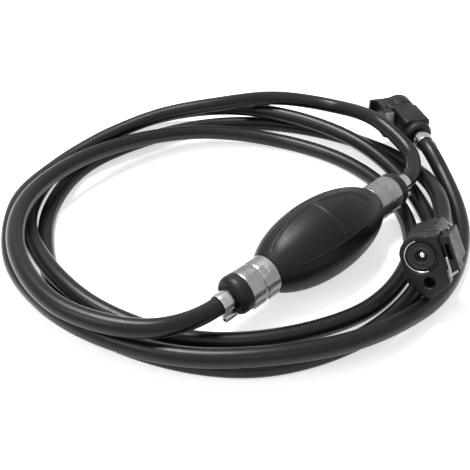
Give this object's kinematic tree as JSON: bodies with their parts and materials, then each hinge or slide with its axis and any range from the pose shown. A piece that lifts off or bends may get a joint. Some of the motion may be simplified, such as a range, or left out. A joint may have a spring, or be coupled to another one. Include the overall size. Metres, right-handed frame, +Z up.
{
  "type": "siphon bulb pump",
  "caption": "Hand-squeezed rubber primer bulb with crimped steel ferrules and check valves, joining two long looped fuel hoses with side-lever quick connectors.",
  "frame": {"origin": "on the floor below the bulb's centre, bottom centre of the bulb with its ferrules, valve bodies and clamps", "axes": "+X along the bulb from its outlet to its inlet, +Z up"},
  "size_m": [0.3622, 0.334, 0.0601],
  "materials": {
    "bulb_rubber": "satin",
    "hose_rubber": "satin",
    "seal_rubber": "matte",
    "black_plastic": "satin",
    "valve_plastic": "satin",
    "zinc_steel": "satin",
    "clamp_steel": "polished",
    "spring_steel": "satin",
    "ball_steel": "polished",
    "brass": "satin"
  },
  "bodies": {
    "hose_set": {"bulb": "bulb_rubber", "inlet_ferrule": "zinc_steel", "outlet_ferrule": "zinc_steel", "inlet_valve_body": "black_plastic", "outlet_valve_body": "black_plastic", "inlet_cage": "valve_plastic", "outlet_seat": "valve_plastic", "bulb_clamps": "clamp_steel", "tank_hose": "hose_rubber", "engine_hose": "hose_rubber", "connector_clamps": "clamp_steel", "tank_housing": "black_plastic", "tank_guide_foot": "black_plastic", "tank_rear_cap": "black_plastic", "tank_hose_barb": "brass", "tank_port_seal": "seal_rubber", "tank_circlip": "clamp_steel", "tank_valve_sleeve": "brass", "tank_ball_spring": "spring_steel", "tank_lever_pin": "clamp_steel", "tank_lever_spring": "spring_steel", "engine_housing": "black_plastic", "engine_guide_foot": "black_plastic", "engine_rear_cap": "black_plastic", "engine_hose_barb": "brass", "engine_port_seal": "seal_rubber", "engine_circlip": "clamp_steel", "engine_valve_sleeve": "brass", "engine_ball_spring": "spring_steel", "engine_lever_pin": "clamp_steel", "engine_lever_spring": "spring_steel"},
    "inlet_check": {"inlet_ball": "ball_steel"},
    "outlet_check": {"outlet_ball": "ball_steel"},
    "tank_check": {"tank_ball": "ball_steel"},
    "engine_check": {"engine_ball": "ball_steel"},
    "tank_latch": {"tank_lever": "black_plastic", "tank_hook": "zinc_steel"},
    "engine_latch": {"engine_lever": "black_plastic", "engine_hook": "zinc_steel"}
  },
  "joints": [
    {"name": "inlet_ball_slide", "type": "slide", "parent": "hose_set", "child": "inlet_check", "axis": [-1, 0, 0], "range_m": [0, 0.003]},
    {"name": "outlet_ball_slide", "type": "slide", "parent": "hose_set", "child": "outlet_check", "axis": [-1, 0, 0], "range_m": [0, 0.003]},
    {"name": "tank_ball_slide", "type": "slide", "parent": "hose_set", "child": "tank_check", "axis": [-0.515, -0.8572, 0], "range_m": [0, 0.0025], "stiffness_N_per_m": 80, "springref_m": -0.003, "deforming": ["tank_ball_spring"]},
    {"name": "tank_lever_hinge", "type": "hinge", "parent": "hose_set", "child": "tank_latch", "pos_m": [0.15593, 0.06295, 0.0308], "axis": [0, 0, 1], "range_deg": [0, 8], "stiffness_Nm_per_rad": 0.6, "springref_deg": -8.59, "deforming": ["tank_lever_spring"]},
    {"name": "engine_ball_slide", "type": "slide", "parent": "hose_set", "child": "engine_check", "axis": [0.907, 0.2947, -0.3007], "range_m": [0, 0.0025], "stiffness_N_per_m": 80, "springref_m": -0.003, "deforming": ["engine_ball_spring"]},
    {"name": "engine_lever_hinge", "type": "hinge", "parent": "hose_set", "child": "engine_latch", "pos_m": [0.03556, -0.07496, 0.04663], "axis": [0.0788, 0.5828, 0.8088], "range_deg": [0, 8], "stiffness_Nm_per_rad": 0.6, "springref_deg": -8.59, "deforming": ["engine_lever_spring"]}
  ]
}
